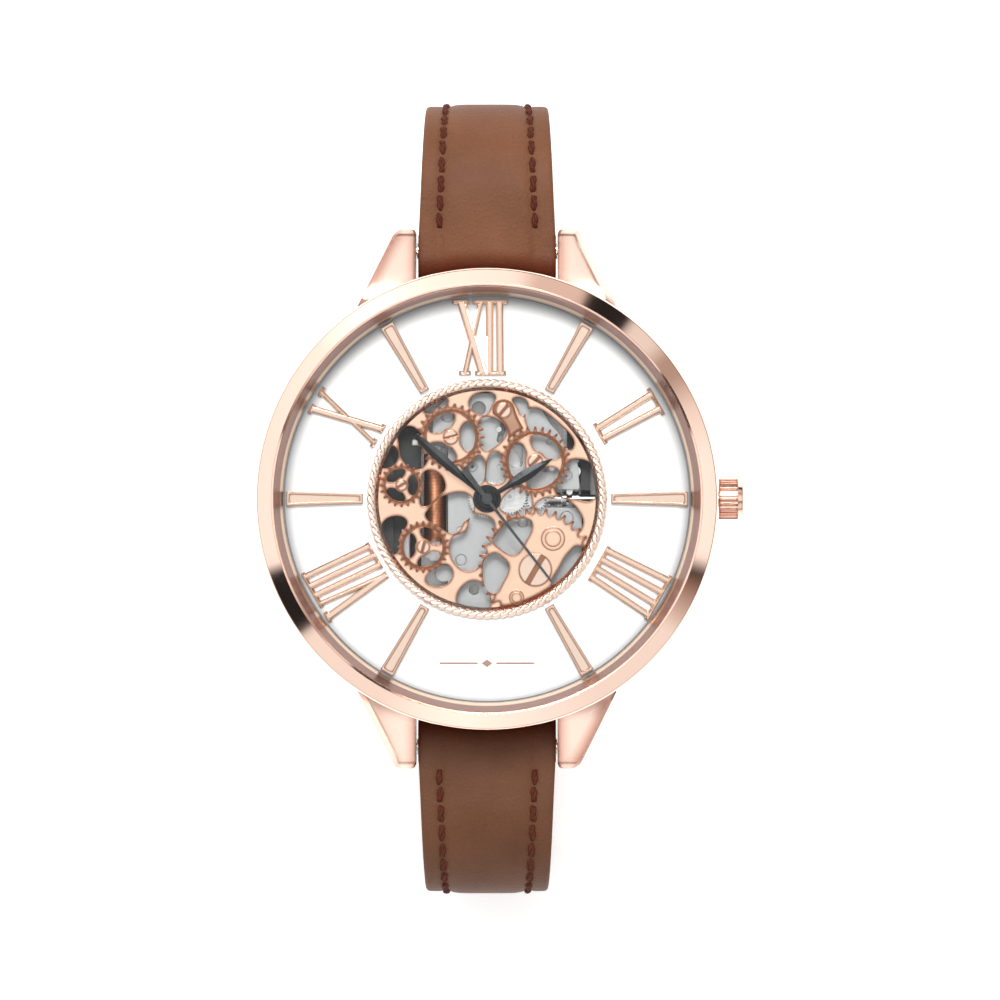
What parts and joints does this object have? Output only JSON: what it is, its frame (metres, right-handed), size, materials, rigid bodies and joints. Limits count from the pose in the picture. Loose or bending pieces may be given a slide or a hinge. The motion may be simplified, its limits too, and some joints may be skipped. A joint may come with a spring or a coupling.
{
  "type": "skeleton wristwatch",
  "caption": "Round dial-up wristwatch with a cut-out rose gold centre plate, raised hour marks, leaf hands and a curved padded leather strap with a pin buckle.",
  "frame": {"origin": "on the floor under the dial's centre, in the plane the strap stands on", "axes": "+Z out of the dial (up), +Y to twelve o'clock, +X to three o'clock and the crown"},
  "size_m": [0.0412, 0.0676, 0.0503],
  "materials": {
    "rose_gold_polished": "polished rose gold plating on steel",
    "glass_clear": "clear flat mineral glass",
    "gasket_clear": "translucent gasket",
    "rose_gold_satin": "satin rose gold plating",
    "steel_back": "brushed stainless steel",
    "gasket_black": "black rubber seal",
    "steel_train": "fine turned steel",
    "plastic_white": "matte white plastic",
    "plastic_black": "matte black plastic",
    "plate_grey": "matte grey metal",
    "copper_wire": "enamelled copper wire",
    "pcb_green": "solder mask with tinned pads",
    "battery_steel": "nickel plated cell can",
    "brass_train": "gilt brass",
    "magnet": "sintered magnet on a steel arbor",
    "dial_white": "satin white lacquer",
    "print_rose": "metallic print",
    "hand_black": "black lacquer",
    "leather_brown": "smooth mid brown calf leather",
    "leather_lining": "suede lining"
  },
  "bodies": {
    "case": {"case_middle": "rose_gold_polished", "bezel": "rose_gold_polished", "crystal_glass": "glass_clear", "crystal_gasket": "gasket_clear", "rehaut_ring": "rose_gold_satin", "case_back": "steel_back", "case_back_gasket": "gasket_black", "crown_tube": "steel_train", "movement_holder": "plastic_white", "base_frame": "plastic_black", "train_bridge": "steel_train", "main_plate": "plate_grey", "lever_cover": "plate_grey", "bridge_screws": "steel_train", "stator": "steel_train", "coil_core": "steel_train", "coil_winding": "copper_wire", "circuit_board": "pcb_green", "quartz_crystal": "battery_steel", "battery": "battery_steel", "battery_clip": "brass_train", "dial": "dial_white", "aperture_ring": "rose_gold_polished", "skeleton_plate": "rose_gold_satin", "dial_wheel_a": "rose_gold_satin", "dial_wheel_b": "rose_gold_satin", "dial_wheel_c": "rose_gold_satin", "dial_wheel_d": "rose_gold_satin", "dial_wheel_e": "rose_gold_satin", "dial_bridge": "rose_gold_satin", "dial_screws": "rose_gold_polished", "hour_batons": "rose_gold_polished", "hour_numerals": "rose_gold_polished", "dial_ornament": "print_rose", "spring_bars": "steel_train"},
    "seconds_arbor": {"seconds_wheel": "steel_train", "seconds_hand": "hand_black"},
    "fifth_arbor": {"fifth_wheel": "steel_train"},
    "third_arbor": {"third_wheel": "steel_train"},
    "centre_arbor": {"centre_wheel": "steel_train", "minute_hand": "hand_black"},
    "minute_arbor": {"minute_wheel": "steel_train"},
    "hour_pipe": {"hour_wheel": "steel_train", "hour_hand": "hand_black"},
    "rotor_arbor": {"rotor": "magnet"},
    "setting_arbor": {"setting_wheel": "steel_train"},
    "clutch": {"sliding_pinion": "steel_train"},
    "winding_stem": {"stem": "steel_train", "crown": "rose_gold_polished", "crown_gasket": "gasket_black"},
    "lever": {"setting_lever": "steel_train"},
    "strap_upper": {"strap_12": "leather_brown", "strap_12_lining": "leather_lining", "fixed_keeper": "leather_brown"},
    "keeper": {"free_keeper": "leather_brown"},
    "buckle": {"buckle_frame": "rose_gold_polished", "buckle_bar": "steel_train"},
    "tongue": {"buckle_tongue": "rose_gold_polished"},
    "strap_lower": {"strap_6": "leather_brown", "strap_6_lining": "leather_lining"}
  },
  "joints": [
    {"name": "seconds_turn", "type": "hinge", "parent": "case", "child": "seconds_arbor", "pos_m": [0, 0, 0.044], "axis": [0, 0, -1], "continuous": true},
    {"name": "fifth_turn", "type": "hinge", "parent": "case", "child": "fifth_arbor", "pos_m": [0.00099, 0.00278, 0.043], "axis": [0, 0, -1], "continuous": true},
    {"name": "rotor_turn", "type": "hinge", "parent": "case", "child": "rotor_arbor", "pos_m": [-0.00125, 0.00272, 0.043], "axis": [0, 0, -1], "continuous": true},
    {"name": "third_turn", "type": "hinge", "parent": "case", "child": "third_arbor", "pos_m": [0.00243, -0.00158, 0.043], "axis": [0, 0, -1], "continuous": true},
    {"name": "minutes_turn", "type": "hinge", "parent": "case", "child": "centre_arbor", "pos_m": [0, 0, 0.045], "axis": [0, 0, -1], "continuous": true},
    {"name": "minute_wheel_turn", "type": "hinge", "parent": "case", "child": "minute_arbor", "pos_m": [0.00193, 0.00019, 0.0455], "axis": [0, 0, -1], "continuous": true},
    {"name": "hours_turn", "type": "hinge", "parent": "case", "child": "hour_pipe", "pos_m": [0, 0, 0.046], "axis": [0, 0, -1], "continuous": true},
    {"name": "setting_wheel_turn", "type": "hinge", "parent": "case", "child": "setting_arbor", "pos_m": [0.00417, -0.00012, 0.0455], "axis": [0, 0, -1], "continuous": true},
    {"name": "crown_turn", "type": "hinge", "parent": "case", "child": "clutch", "pos_m": [0.006, 0, 0.044], "axis": [1, 0, 0], "continuous": true},
    {"name": "crown_pull", "type": "slide", "parent": "clutch", "child": "winding_stem", "axis": [1, 0, 0], "range_m": [0, 0.0009]},
    {"name": "lever_swing", "type": "hinge", "parent": "case", "child": "lever", "pos_m": [0.00743, 0.00232, 0.045], "axis": [0, 0, 1], "range_deg": [-2, 30.6]},
    {"name": "strap_upper_swing", "type": "hinge", "parent": "case", "child": "strap_upper", "pos_m": [0, 0.0211, 0.042], "axis": [1, 0, 0], "range_deg": [0, 65]},
    {"name": "strap_lower_swing", "type": "hinge", "parent": "case", "child": "strap_lower", "pos_m": [0, -0.0211, 0.042], "axis": [-1, 0, 0], "range_deg": [0, 65]},
    {"name": "keeper_slide", "type": "slide", "parent": "strap_upper", "child": "keeper", "axis": [0, 0.7071, -0.7071], "range_m": [0, 0.0015]},
    {"name": "buckle_swing", "type": "hinge", "parent": "strap_upper", "child": "buckle", "pos_m": [0, 0.00394, 0.01129], "axis": [1, 0, 0], "range_deg": [-20, 20]},
    {"name": "tongue_swing", "type": "hinge", "parent": "buckle", "child": "tongue", "pos_m": [0, 0.00394, 0.01129], "axis": [1, 0, 0], "range_deg": [0, 50]}
  ],
  "couplings": [
    {"joint": "fifth_turn", "follows": "seconds_turn", "ratio": -5},
    {"joint": "rotor_turn", "follows": "seconds_turn", "ratio": 30},
    {"joint": "third_turn", "follows": "seconds_turn", "ratio": -0.13333},
    {"joint": "minutes_turn", "follows": "seconds_turn", "ratio": 0.016667},
    {"joint": "minute_wheel_turn", "follows": "seconds_turn", "ratio": -0.0055556},
    {"joint": "hours_turn", "follows": "seconds_turn", "ratio": 0.0013889},
    {"joint": "setting_wheel_turn", "follows": "seconds_turn", "ratio": 0.01},
    {"joint": "lever_swing", "follows": "crown_pull", "rad_per_m": 555.56}
  ]
}
